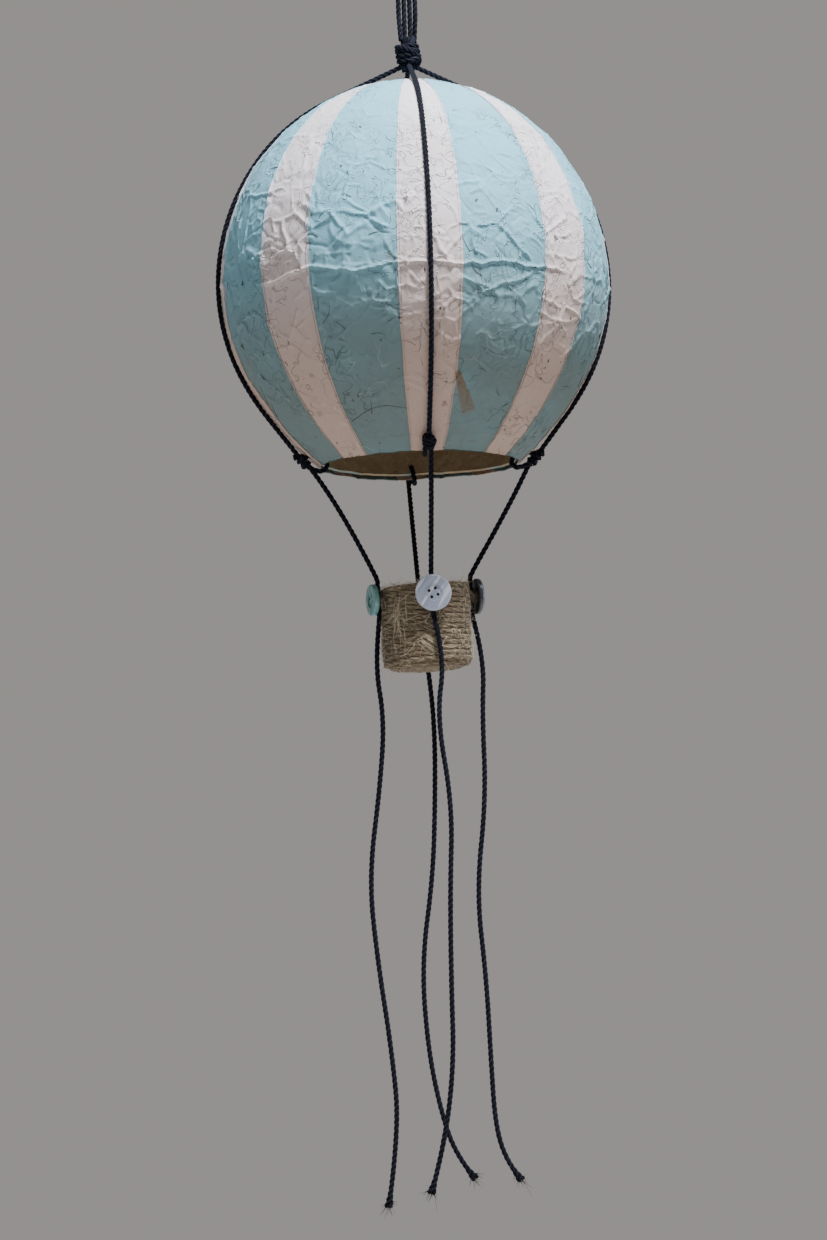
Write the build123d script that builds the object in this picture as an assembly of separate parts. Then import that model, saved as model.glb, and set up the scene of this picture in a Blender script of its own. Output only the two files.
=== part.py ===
from build123d import *
from math import acos, atan2, cos, hypot, pi, radians, sin, tan
import os

# A hanging paper balloon with a jute-wound basket.
# Millimetres, +Z up. The origin is where the hanging eye bears on its hook, and the front cord lies at -Y.
# Angles round the balloon are counted from the front, anticlockwise as seen from above.

# ---- driving dimensions ----
CORD_D = 3.0  # twisted cotton cord
CORD_AIR = 0.1  # cord to paper or jute on the same body
SIDES = {"front": 0, "right": 90, "back": 180, "left": 270}

# Hanging eye and the strap of four cords
EYE_R = 6.0  # inside the top of the eye
STRAND_AIR = 0.2
EYE_CENTRE_Z = -EYE_R
EYE_OPEN_Z = -14.0  # the eye is widest above this
EYE_NECK_Z = -25.0  # and its two halves meet here
EYE_BEND_R = 12.0
STRAP_SPLIT_Z = -33.0
SPLIT_GAP = 0.3
STRAP_BUNCH = (1.33 * CORD_D, 0.87 * CORD_D)  # the outer cords' places where they meet the knot
STRAP_END_UP = 3.2  # over the swing's centre, so that the knot's wraps swing clear

# Crown knot
KNOT_TOP_Z = -51.0  # centre of the rounded top on which the strap swings
KNOT_R = 7.7
KNOT_H = 17.6
KNOT_FOOT_R = 4.6  # the legs come out of this foot
KNOT_WRAP_D = 3.2
KNOT_WRAPS = ((4.6, 14, 20), (0.6, -16, 80), (-2.6, 13, -30))  # height over its middle, slant, turn
KNOT_WAIST = 0.55  # share of its height
NECK_R = 5.0
NECK_GAP = 0.3
INTO_KNOT = 1.0  # cords start this far inside a knot

# Balloon: radius and turn of each arc of its outline, from the pole down to the mouth
POLE_Z = -78.0
OUTLINE = [(107.0, 51.5), (123.0, 35.0), (117.0, 34.0), (163.0, 20.5)]
CORE_WALL = 1.6
CORE_JOINS = (48.0, 95.0)  # headings where the core's three rings meet
GORE_SKIN = 0.45
PASTE = 0.05
POLE_DOT_R = 2.0
WHITE_WIDTH = 18.5  # degrees
GORE_PAIRS = 8

# Rim knots, and the holes that their loops pass through
HOLE_D = 4.8
HOLE_UP = 9.5  # along the paper, from the mouth's edge
RIM_KNOT_L = 11.6
RIM_KNOT_R = 4.0
RIM_KNOT_END_R = 3.4
RIM_KNOT_OUT = 4.3
LEG_LIFT = 3.4  # a leg's height over the paper where it enters its rim knot
LOOP_ASIDE = -0.6 * CORD_D  # the loop goes round the edge beside the stay
STAY_ASIDE = 0.5 * CORD_D
STAY_INTO_KNOT = 1.5
LEG_PAST_KNOT = 3.0

# Basket
BASKET_R = 25.5
BASKET_H = 48.0
BASKET_CENTRE = (1.2, 0.0, -391.0)
BASKET_TILT = 2.0
CUP_WALL = 1.5
CUP_BELOW_TOP = 1.0
CUP_CORNER = 3.0
TWINE_D = 3.0
TWINE_OUT = 1.15  # how far the rows' centres stand from the cup
ROW_COUNT = int(BASKET_H / TWINE_D - 1)
CORNER_ROW_IN = 0.53 * TWINE_D  # the lowest side row is drawn in round the cup's corner
CORNER_ROW_STEP = 0.8 * TWINE_D

# Buttons and the cords pressed under them
BUTTON_ANGLE = {"front": 5, "right": 95, "back": 181, "left": 283}
BUTTON_D = {"front": 20.5, "right": 20.5, "back": 20.5, "left": 18.0}
BUTTON_TURN = {"front": 0, "right": 8, "back": 0, "left": 0}  # turned on the glue, anticlockwise from above
BUTTON_T = 3.2
BUTTON_DOWN = 7.8  # centre, from the basket's top
BUTTON_EDGE_R = 1.0
RECESS_D = 9.0
RECESS_DEEP = 0.7
HOLE_CIRCLE_D = 5.4
THREAD_HOLE_D = 1.7
THREAD_HOLE_TURN = 65
GLUE_OVER_CORD = 0.3
GLUE_D = 12.0
GLUE_INTO_JUTE = 1.5
PRESSED_ABOVE = 3.0  # over the basket's top, past the upper edge of the widest button
PRESSED_BELOW = 0.6  # under the button's lower edge
STAY_GAP = 1.1
TAIL_GAP = 0.3
TAIL_OFF_JUTE = 0.4
STAY_BOW = {"front": 0.6, "right": 0.9, "back": 0.5, "left": -2.0}
BOW_AT = (0.2, 0.58)

# Free tails, from under each button to the cut end, counted from the tail's hinge
TAIL_ROUTE = {
    "front": [
        (0.0, 0.0, 0.0),
        (5.5, -1.3, -23.6),
        (-0.1, -1.4, -56.6),
        (7.3, -1.5, -105.6),
        (4.7, -1.3, -153.6),
        (3.9, -1.4, -204.6),
        (4.1, -1.6, -248.6),
        (-2.3, -0.9, -292.6),
        (-10.2, -0.3, -318.6),
    ],
    "right": [
        (0.0, 0.0, 0.0),
        (5.6, 0.0, -22.5),
        (3.6, -0.1, -54.5),
        (4.4, 0.0, -101.5),
        (-2.6, 0.4, -154.5),
        (1.6, 0.2, -203.5),
        (2.8, 0.1, -247.5),
        (4.2, -0.1, -285.5),
        (10.1, -0.5, -305.5),
        (17.8, -1.2, -315.5),
    ],
    "back": [
        (0.0, 0.0, 0.0),
        (3.6, 0.7, -23.5),
        (6.4, 0.9, -58.5),
        (5.4, 0.6, -101.5),
        (3.0, 0.9, -143.5),
        (-4.8, 1.0, -192.5),
        (-2.6, 0.9, -240.5),
        (3.8, 0.4, -276.5),
        (11.8, 0.0, -301.5),
        (22.1, -0.5, -314.5),
    ],
    "left": [
        (0.0, 0.0, 0.0),
        (-3.2, -0.2, -24.9),
        (1.4, -0.4, -55.9),
        (-1.9, -0.1, -92.9),
        (-9.6, 0.4, -144.9),
        (-5.9, 0.3, -190.9),
        (0.6, -0.3, -240.9),
        (3.8, -0.6, -284.9),
        (-3.3, 0.0, -326.9),
    ],
}

CORD_R = CORD_D / 2
FAR = 20.0  # reach of the tools that trim cords and drill paper
KNOT_CENTRE_Z = KNOT_TOP_Z - KNOT_H / 2
JUTE_R = BASKET_R
CUP_R = BASKET_R - TWINE_D / 2 - TWINE_OUT
BASKET = Location(BASKET_CENTRE, (0, -BASKET_TILT, 0))


def around(angle, r, z, aside=0.0):
    """The point at this angle, radius and height, moved sideways by aside."""
    a = radians(angle)
    return Vector(r * sin(a) + aside * cos(a), -r * cos(a) + aside * sin(a), z)


def facing(angle, r, z):
    """A frame whose Z points straight out at this angle and whose Y points up."""
    a = radians(angle)
    return Plane(origin=around(angle, r, z), x_dir=(cos(a), sin(a), 0), z_dir=(sin(a), -cos(a), 0))


# ---- the balloon's outline ----
def outline_arcs():
    """Each arc as its centre (r, z), radius, and the headings where it starts and ends."""
    arcs, r, z, heading = [], 0.0, POLE_Z, 0.0
    for radius, turn in OUTLINE:
        centre = (r - radius * sin(heading), z - radius * cos(heading))
        end = heading + radians(turn)
        arcs.append((centre, radius, heading, end))
        r, z = centre[0] + radius * sin(end), centre[1] + radius * cos(end)
        heading = end
    return arcs


ARCS = outline_arcs()


def on_paper(heading, out=0.0):
    """The (r, z) of the outline at this heading, moved out by out."""
    for centre, radius, start, end in ARCS:
        if heading <= end:
            break
    return centre[0] + (radius + out) * sin(heading), centre[1] + (radius + out) * cos(heading)


def outline_curve(out, first, last):
    """Arcs at this distance out, between two headings, in the XZ plane."""
    curve = []
    for _, _, start, end in ARCS:
        a, b = max(start, first), min(end, last)
        if a < b:
            ends = [on_paper(h, out) for h in (a + 1e-9, (a + b) / 2, b)]
            curve.append(ThreePointArc(*[(r, 0, z) for r, z in ends]))
    return curve


MOUTH_HEADING = ARCS[-1][3]
MOUTH_R, MOUTH_Z = on_paper(MOUTH_HEADING)
SKIRT_R = OUTLINE[-1][0]
BIGGEST_R = max(radius for radius, _ in OUTLINE)


def up_from_mouth(distance, out):
    """The (r, z) at a distance along the paper from the mouth's edge, and out from it."""
    return on_paper(MOUTH_HEADING - distance / SKIRT_R, out)


def paper_layer(outer, wall, hole_r):
    """The section of a layer: from the pole to the flat cut of the mouth."""
    top, base = on_paper(0, outer)[1], MOUTH_Z
    outside = outline_curve(outer, 0, MOUTH_HEADING + 0.1)
    inside = outline_curve(outer - wall, 0, MOUTH_HEADING + 0.1)
    ends = [Line(outside[0] @ 0, inside[0] @ 0), Line(outside[-1] @ 1, inside[-1] @ 1)]
    section = Face(Wire(outside + inside + ends))
    below = Plane.XZ * Pos(0, base - BIGGEST_R / 2) * Rectangle(4 * BIGGEST_R, BIGGEST_R)
    middle = Plane.XZ * Pos(0, top) * Rectangle(2 * hole_r, 2 * FAR)
    return section - below - middle


def core_rings(section):
    """The core's section cut level into three and spun, so that each ring is simple to collide with."""
    joins = [on_paper(radians(h), 0)[1] for h in CORE_JOINS]
    levels = [POLE_Z + FAR, *joins, MOUTH_Z - FAR]
    rings = {}
    for name, high, low in zip(("top", "middle", "bottom"), levels, levels[1:]):
        high, low = high - PASTE / 2, low + PASTE / 2
        band = Plane.XZ * Pos(BIGGEST_R, (high + low) / 2) * Rectangle(2 * BIGGEST_R, high - low)
        rings[name] = section_spun(section & band, 360)
    return rings


def section_spun(section, angle):
    """The section turned round the balloon's axis."""
    return revolve(section, Axis.Z, angle)


def punch(side):
    """The drill for the hole that this side's loop passes through."""
    r, z = up_from_mouth(HOLE_UP, 0)
    slope = MOUTH_HEADING - HOLE_UP / SKIRT_R
    a = radians(SIDES[side])
    normal = (sin(slope) * sin(a), -sin(slope) * cos(a), cos(slope))
    return Plane(origin=around(SIDES[side], r, z), z_dir=normal) * Cylinder(HOLE_D / 2, FAR)


# ---- cords ----
def tube(points, radii=None, name=None):
    """A cord along straight runs joined by tangent arcs, as large as the runs allow."""
    points = [Vector(p) for p in points]
    if radii is None:
        radii = []
        for before, at, after in zip(points, points[1:], points[2:]):
            turn = (at - before).get_angle(after - at)
            run = min((at - before).length, (after - at).length)
            radii.append(0.45 * run / tan(radians(turn) / 2))
    line = FilletPolyline(*points, radius=radii) if radii else Line(*points)
    solid = sweep(section_at(line), path=line)
    if name:
        said = ", ".join(f"{r:.0f}" for r in radii)
        share = solid.volume / (pi * CORD_R**2 * line.length)
        print(f"{name}: length {line.length:.1f}, radii {said}, volume share {share:.5f}")
    return solid


def section_at(line):
    """The round section across the start of a line."""
    return Plane(origin=line @ 0, z_dir=line % 0) * Circle(CORD_R)


# ---- hanging eye and strap ----
def eye_bight(pitch):
    """A cord folded over the hook, its two ends going down to the strap, beside its neighbour all the way."""
    beside = pitch * (CORD_D + STRAND_AIR)
    first_r, first_half = EYE_R + CORD_R, (CORD_D + STRAND_AIR) / 2
    slant = atan2(first_r - first_half, EYE_OPEN_Z - EYE_NECK_Z)
    r, half, drop = first_r + beside, first_half + beside, beside * tan(slant / 2)
    stops = [(r, EYE_CENTRE_Z), (r, EYE_OPEN_Z - drop), (half, EYE_NECK_Z - drop), (half, STRAP_SPLIT_Z)]
    right = FilletPolyline(*[(x, 0, z) for x, z in stops], radius=[EYE_BEND_R + beside, EYE_BEND_R - beside])
    over = ThreePointArc((r, 0, EYE_CENTRE_Z), (0, 0, EYE_CENTRE_Z + r), (-r, 0, EYE_CENTRE_Z))
    left = mirror(right, about=Plane.YZ)
    path = Wire(right.edges() + over.edges() + left.edges())
    return sweep(Plane.XY * Pos(half, 0, STRAP_SPLIT_Z) * Circle(CORD_R), path=path)


def strap_strand(index):
    """One of the four cords between the eye and the crown knot."""
    half = (CORD_D + STRAND_AIR) * (index - 1.5)
    top, bottom = STRAP_SPLIT_Z - SPLIT_GAP, KNOT_TOP_Z + STRAP_END_UP
    if index in (0, 3):
        way = 1 if index == 3 else -1
        x, y = (way * at for at in STRAP_BUNCH)
        points = [(half, 0, top), (half, 0, top - CORD_D), (x, y, bottom)]
    else:
        points = [(half, 0, top), (half, 0, bottom)]
    return tube(points) - Pos(0, 0, KNOT_TOP_Z) * Sphere(NECK_R + NECK_GAP)


# ---- knots ----
def crown_knot():
    """The big knot over the balloon: a waisted body with cord wrapped slantwise round it."""
    wrap = KNOT_WRAP_D / 2
    waist_r = KNOT_R - wrap
    body = Pos(0, 0, KNOT_TOP_Z - KNOT_H / 2) * Cylinder(KNOT_FOOT_R, KNOT_H)
    knot = body + Pos(0, 0, KNOT_CENTRE_Z) * Cylinder(waist_r, KNOT_H * KNOT_WAIST)
    knot += Pos(0, 0, KNOT_TOP_Z) * Sphere(NECK_R)
    for height, slant, turn in KNOT_WRAPS:
        ring = Torus(waist_r, wrap)
        knot += Pos(0, 0, KNOT_CENTRE_Z + height) * Rot(slant, 0, turn) * ring
    return knot


def rim_knot_frame(side, along):
    """A frame at a distance along the paper from the knot's middle, its Z pointing down the paper."""
    slope = MOUTH_HEADING - HOLE_UP / SKIRT_R
    r, z = up_from_mouth(HOLE_UP, RIM_KNOT_OUT)
    r, z = r + along * cos(slope), z - along * sin(slope)
    a = radians(SIDES[side])
    down = (cos(slope) * sin(a), -cos(slope) * cos(a), -sin(slope))
    return Plane(origin=around(SIDES[side], r, z), z_dir=down)


def rim_loop_points(side):
    """From the knot's lower end, round the mouth's edge, and back out through the hole."""
    inside = -CORE_WALL - GORE_SKIN - PASTE - CORD_D / 2
    low = HOLE_UP - RIM_KNOT_L / 2
    stops = [
        (low, RIM_KNOT_OUT, 1.0),
        (-3.5, RIM_KNOT_OUT - 0.5, 1.0),
        (-6.5, -1.0, 0.8),
        (-3.5, inside - 1.0, 0.5),
        (HOLE_UP, inside - 0.6, 0.0),
        (HOLE_UP, 0.1, 0.0),
    ]
    angle = SIDES[side]
    return [around(angle, *up_from_mouth(up, out), share * LOOP_ASIDE) for up, out, share in stops]


def rim_knot(side):
    """The small knot over a hole, with its loop through the hole and round the mouth's edge."""
    half = RIM_KNOT_L / 2
    section = make_face(Wire([
        *Polyline((RIM_KNOT_END_R, -half), (0, -half), (0, half), (RIM_KNOT_END_R, half)).edges(),
        ThreePointArc((RIM_KNOT_END_R, half), (RIM_KNOT_R, 0), (RIM_KNOT_END_R, -half)),
    ]))
    barrel = rim_knot_frame(side, 0).location * revolve(Plane.XZ * section, Axis.Z)
    return Compound([barrel.solid(), tube(rim_loop_points(side)).solid()])


# ---- legs and stays ----
def leg(side):
    """The cord over the balloon, from the crown knot to this side's rim knot."""
    out = CORD_R + CORD_AIR
    centre, radius, _, _ = ARCS[0]
    exit_r, exit_z = KNOT_FOOT_R - INTO_KNOT, KNOT_TOP_Z - KNOT_H + 2 * INTO_KNOT
    dr, dz = exit_r - centre[0], exit_z - centre[1]
    touch = atan2(dr, dz) + acos((radius + out) / hypot(dr, dz))
    touch_r, touch_z = on_paper(touch, out)
    knot_end = MOUTH_HEADING - (HOLE_UP + RIM_KNOT_L / 2) / SKIRT_R
    leave = knot_end - acos((SKIRT_R + out) / (SKIRT_R + LEG_LIFT))
    last_r, last_z = on_paper(leave, out)
    run = SKIRT_R * (knot_end - leave) + LEG_PAST_KNOT
    path = Wire([
        Line((exit_r, 0, exit_z), (touch_r, 0, touch_z)),
        *outline_curve(out, touch, leave),
        Line((last_r, 0, last_z), (last_r + run * cos(leave), 0, last_z - run * sin(leave))),
    ])
    cord = sweep(section_at(path), path=path)
    share = cord.volume / (pi * CORD_R**2 * path.length)
    print(f"{side} leg: length {path.length:.1f}, volume share {share:.5f}")
    cord = Rot(0, 0, SIDES[side] - 90) * cord
    foot = Pos(0, 0, KNOT_TOP_Z - KNOT_H) * Cylinder(KNOT_FOOT_R, 2 * KNOT_H)
    past_knot = rim_knot_frame(side, (FAR - RIM_KNOT_L) / 2).location * Box(FAR, FAR, FAR)
    return cord - foot - past_knot


def basket_point(angle, r, down):
    """A point of the basket, by its angle, radius and depth under the basket's top."""
    at = around(angle, r, BASKET_H / 2 - down)
    return (BASKET * Pos(*at)).position


def pressed_r():
    return JUTE_R + CORD_AIR + CORD_R


def stay_points(side):
    """From inside the rim knot's lower end to just over the pressed cord."""
    r, z = up_from_mouth(HOLE_UP - RIM_KNOT_L / 2 + STAY_INTO_KNOT, RIM_KNOT_OUT)
    start = around(SIDES[side], r, z, STAY_ASIDE)
    end = basket_point(BUTTON_ANGLE[side], pressed_r(), -PRESSED_ABOVE - STAY_GAP)
    points = [start]
    for share in BOW_AT:
        at = start + (end - start) * share
        out = Vector(at.X, at.Y, 0).normalized()
        points.append(at + out * STAY_BOW[side])
    return points + [end]


def stay(side):
    cord = tube(stay_points(side), name=f"{side} stay")
    in_knot = rim_knot_frame(side, (RIM_KNOT_L - FAR) / 2).location * Box(FAR, FAR, FAR)
    return cord - in_knot


# ---- basket ----
def basket_cup():
    depth = BASKET_H - CUP_BELOW_TOP - TWINE_D
    outside = Pos(0, 0, (TWINE_D - CUP_BELOW_TOP) / 2) * Cylinder(CUP_R, depth)
    outside = fillet(outside.edges().group_by(Axis.Z)[0], CUP_CORNER)
    inside = Pos(0, 0, (TWINE_D - CUP_BELOW_TOP) / 2 + CUP_WALL) * Cylinder(CUP_R - CUP_WALL, depth)
    inside = fillet(inside.edges().group_by(Axis.Z)[0], CUP_CORNER - CUP_WALL)
    return outside - inside


def side_rows():
    """Rows of twine up the cup's side, the lowest two drawn in round its corner."""
    centre_r = CUP_R + TWINE_OUT
    top = BASKET_H / 2
    rows = [(centre_r, top - TWINE_D * (i + 0.5)) for i in range(ROW_COUNT)]
    low = rows[-1][1]
    rows.append((centre_r - CORNER_ROW_IN, low - CORNER_ROW_STEP))
    band_h = top - TWINE_D / 2 - low
    band = Pos(CUP_R + TWINE_OUT / 2, low + band_h / 2) * Rectangle(TWINE_OUT, band_h)
    section = band
    for r, z in rows:
        section += Pos(r, z) * Circle(TWINE_D / 2)
    return revolve(Plane.XZ * section, Axis.Z) - cup_outside()


def cup_outside():
    """The cup's outer shape, filled."""
    depth = BASKET_H - CUP_BELOW_TOP - TWINE_D
    plug = Pos(0, 0, (TWINE_D - CUP_BELOW_TOP) / 2) * Cylinder(CUP_R, depth)
    plug = fillet(plug.edges().group_by(Axis.Z)[0], CUP_CORNER)
    above = Pos(0, 0, BASKET_H / 2 - CUP_BELOW_TOP + FAR / 2) * Cylinder(CUP_R, FAR)
    return plug + above


def base_rows(sides):
    """Twine coiled flat under the cup's floor."""
    low = -BASKET_H / 2 + TWINE_D / 2
    reach = CUP_R - CORNER_ROW_IN
    count = int(reach // TWINE_D)
    section = Pos(reach / 2, low + TWINE_D / 4) * Rectangle(reach, TWINE_D / 2)
    for i in range(count):
        section += Pos(TWINE_D * (i + 0.5), low) * Circle(TWINE_D / 2)
    right_half = Pos(BIGGEST_R, 0) * Rectangle(2 * BIGGEST_R, 2 * BIGGEST_R)
    return revolve(Plane.XZ * (section & right_half), Axis.Z) - cup_outside() - sides


# ---- buttons ----
def button_back_r():
    return JUTE_R + CORD_AIR + CORD_D + GLUE_OVER_CORD


def button_frame(side):
    """Where a button's back lies, its Z pointing out and its Y up."""
    frame = facing(BUTTON_ANGLE[side], button_back_r(), BASKET_H / 2 - BUTTON_DOWN)
    return frame.location * Rot(0, BUTTON_TURN[side], 0)


def button(side):
    """A four-hole button with a dished middle, its back flat on the glue."""
    r = BUTTON_D[side] / 2
    disc = Pos(0, 0, BUTTON_T / 2) * Cylinder(r, BUTTON_T)
    disc = fillet(disc.edges().filter_by(GeomType.CIRCLE), BUTTON_EDGE_R)
    dish = Pos(0, 0, BUTTON_T) * Cylinder(RECESS_D / 2, 2 * RECESS_DEEP)
    disc -= dish
    disc = fillet(disc.edges().filter_by(lambda e: abs(e.length - pi * RECESS_D) < 0.01), RECESS_DEEP * 0.4)
    for i in range(4):
        a = radians(THREAD_HOLE_TURN + 90 * i)
        disc -= Pos(HOLE_CIRCLE_D / 2 * cos(a), HOLE_CIRCLE_D / 2 * sin(a)) * Cylinder(THREAD_HOLE_D / 2, FAR)
    return button_frame(side) * disc


def pressed_cord(side):
    """The upright stretch of cord held under a button."""
    low = BASKET_H / 2 - BUTTON_DOWN - BUTTON_D[side] / 2 - PRESSED_BELOW
    high = BASKET_H / 2 + PRESSED_ABOVE
    at = around(BUTTON_ANGLE[side], pressed_r(), (low + high) / 2)
    return Pos(*at) * Cylinder(CORD_R, high - low)


def glue_dab(side):
    """The glue between a button's back and the jute, with the cord run through it."""
    deep = button_back_r() - JUTE_R + GLUE_INTO_JUTE
    dab = button_frame(side) * Pos(0, 0, -deep / 2) * Cylinder(GLUE_D / 2, deep)
    return dab - Cylinder(JUTE_R + 0.05, 2 * BASKET_H) - pressed_cord(side)


# ---- tails ----
def tail_hinge(side):
    """Centre of the tail's rounded top, just under the pressed cord."""
    down = BUTTON_DOWN + BUTTON_D[side] / 2 + PRESSED_BELOW + TAIL_GAP + CORD_R
    return basket_point(BUTTON_ANGLE[side], JUTE_R + TAIL_OFF_JUTE + CORD_R, down)


def tail(side):
    points = [tail_hinge(side) + Vector(*step) for step in TAIL_ROUTE[side]]
    cord = tube(points, name=f"{side} tail")
    return cord + Pos(*points[0]) * Sphere(CORD_R)


def build():
    parts = {}
    parts["eye_inner_bight"] = eye_bight(0)
    parts["eye_outer_bight"] = eye_bight(1)
    for i in range(4):
        parts[f"strap_strand_{i + 1}"] = strap_strand(i)
    parts["crown_knot"] = crown_knot()

    holes = [punch(side) for side in SIDES]
    rings = core_rings(paper_layer(-GORE_SKIN - PASTE, CORE_WALL, 0.0))
    for hole in holes:
        rings["bottom"] -= hole
    for name, ring in rings.items():
        parts[f"envelope_{name}"] = ring
    skin = paper_layer(0.0, GORE_SKIN, POLE_DOT_R)
    pitch = 360 / GORE_PAIRS
    white = section_spun(skin, WHITE_WIDTH)
    turquoise = section_spun(skin, pitch - WHITE_WIDTH)
    for i in range(GORE_PAIRS):
        start = i * pitch - WHITE_WIDTH / 2 - 90
        strip = Rot(0, 0, start) * white
        if i % (GORE_PAIRS // 4) == 0:
            strip -= holes[i // (GORE_PAIRS // 4)]
        parts[f"white_gore_{i + 1}"] = strip
        parts[f"turquoise_gore_{i + 1}"] = Rot(0, 0, start + WHITE_WIDTH) * turquoise

    for side in SIDES:
        parts[f"rim_knot_{side}"] = rim_knot(side)
        parts[f"leg_{side}"] = leg(side)
        parts[f"stay_{side}"] = stay(side)

    sides = side_rows()
    parts["basket_cup"] = BASKET * basket_cup()
    parts["jute_side_winding"] = BASKET * sides
    parts["jute_base_winding"] = BASKET * base_rows(sides)
    for side in SIDES:
        parts[f"button_{side}"] = BASKET * button(side)
        parts[f"pressed_cord_{side}"] = BASKET * pressed_cord(side)
        parts[f"glue_dab_{side}"] = BASKET * glue_dab(side)
        parts[f"tail_{side}"] = tail(side)
    return parts


os.makedirs("parts", exist_ok=True)
for name, shape in build().items():
    shape.label = name
    export_step(shape, f"parts/{name}.step")
for side in SIDES:
    x, y, z = tail_hinge(side)
    print(f"{side} tail hinge: {x:.2f} {y:.2f} {z:.2f}")
widest = max(on_paper(radians(h))[0] for h in range(60, 120))
print(f"mouth: r {MOUTH_R:.2f}, z {MOUTH_Z:.2f}; widest r {widest:.2f}")
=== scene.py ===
from math import acos, atan2, cos, exp, hypot, pi, radians, sin, tan

import bmesh
import bpy
import numpy as np
from mathutils import Matrix, Vector, noise


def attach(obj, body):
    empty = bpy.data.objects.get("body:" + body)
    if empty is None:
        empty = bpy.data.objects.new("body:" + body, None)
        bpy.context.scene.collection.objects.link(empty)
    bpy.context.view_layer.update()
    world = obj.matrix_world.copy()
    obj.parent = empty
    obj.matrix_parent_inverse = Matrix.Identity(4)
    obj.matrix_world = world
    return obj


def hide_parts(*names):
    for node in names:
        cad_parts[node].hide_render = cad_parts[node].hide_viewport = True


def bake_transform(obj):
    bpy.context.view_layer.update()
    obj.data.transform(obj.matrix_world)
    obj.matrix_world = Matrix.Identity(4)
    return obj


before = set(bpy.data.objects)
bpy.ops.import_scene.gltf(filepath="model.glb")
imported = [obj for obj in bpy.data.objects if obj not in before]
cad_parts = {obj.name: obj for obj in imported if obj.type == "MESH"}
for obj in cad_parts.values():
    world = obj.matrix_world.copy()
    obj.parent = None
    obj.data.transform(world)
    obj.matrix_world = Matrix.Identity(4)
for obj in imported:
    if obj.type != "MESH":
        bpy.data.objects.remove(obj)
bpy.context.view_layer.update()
noise.seed_set(12)  # noise_vector starts from the clock without this

# A hanging paper balloon with a jute-wound basket, in metres.
# Angles round the balloon are counted from the front (-Y), anticlockwise as seen from above.

# ---- sizes ----
CORD_D = 0.003
CORD_R = CORD_D / 2
CORD_AIR = 0.0001
LAY = 0.0098  # length of one turn of a cord's plies
CORD_STEP = 0.0007  # between a cord's rings
KNOT_STEP = 0.0006
PLY_LUMPS = 260  # how closely the lumps of a ply follow each other
GRAIN_STRETCH = 7  # how far the grain is drawn out along a ply
SIDES = {"front": 0, "right": 90, "back": 180, "left": 270}

EYE_R = 0.006
STRAND_STEP = 0.0032
EYE_CENTRE_Z = -EYE_R
STRAP_BUNCH = (0.004, 0.0026)

KNOT_TOP_Z = -0.051
KNOT_H = 0.0176
KNOT_FOOT_R = 0.0046
KNOT_MIDDLE_Z = KNOT_TOP_Z - KNOT_H / 2

POLE_Z = -0.078
OUTLINE = [(0.107, 51.5), (0.123, 35.0), (0.117, 34.0), (0.163, 20.5)]
SKIN = 0.00045
LINING_DEEP = 0.0013
WHITE_WIDTH = 18.5  # degrees
GORE_LAP = 0.7  # degrees that a turquoise strip reaches under its neighbours
GORE_PAIRS = 8
WIDEST_R = 0.11
HOLE_R = 0.0024
HOLE_UP = 0.0095
RIM_KNOT_L = 0.0116
RIM_KNOT_OUT = 0.0043
LEG_LIFT = 0.0034

BASKET_R = 0.0255
BASKET_H = 0.048
BASKET_TILT = 2.0
BASKET_CENTRE = Vector((0.0012, 0.0, -0.391))
TWINE_R = 0.0015
ROWS = 15
ROW_CLOSE = 0.985  # rows of twine lie this share of its width apart
CORNER_TURNS = 1.3
CORNER_IN = 0.0045
WIND_FROM = 120
BUTTON_ANGLE = {"front": 5, "right": 95, "back": 181, "left": 283}
BUTTON_D = {"front": 0.0205, "right": 0.0205, "back": 0.0205, "left": 0.018}
BUTTON_TURN = {"front": 0, "right": 8, "back": 0, "left": 0}
BUTTON_DOWN = 0.0078
PRESSED_ABOVE = 0.003
STAY_GAP = 0.0011
PRESSED_R = BASKET_R + CORD_AIR + CORD_R
BUTTON_BACK_R = BASKET_R + CORD_AIR + CORD_D + 0.0003
GROOVE_R = 0.0049  # the shallow ring on a button's face
DAB_R = 0.0037
DAB_SINK = 0.0012  # how far the glue soaks into the jute
DEGREES = 57.3  # in one radian
STAY_BOW = {"front": 0.0006, "right": 0.0009, "back": 0.0005, "left": -0.002}

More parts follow.
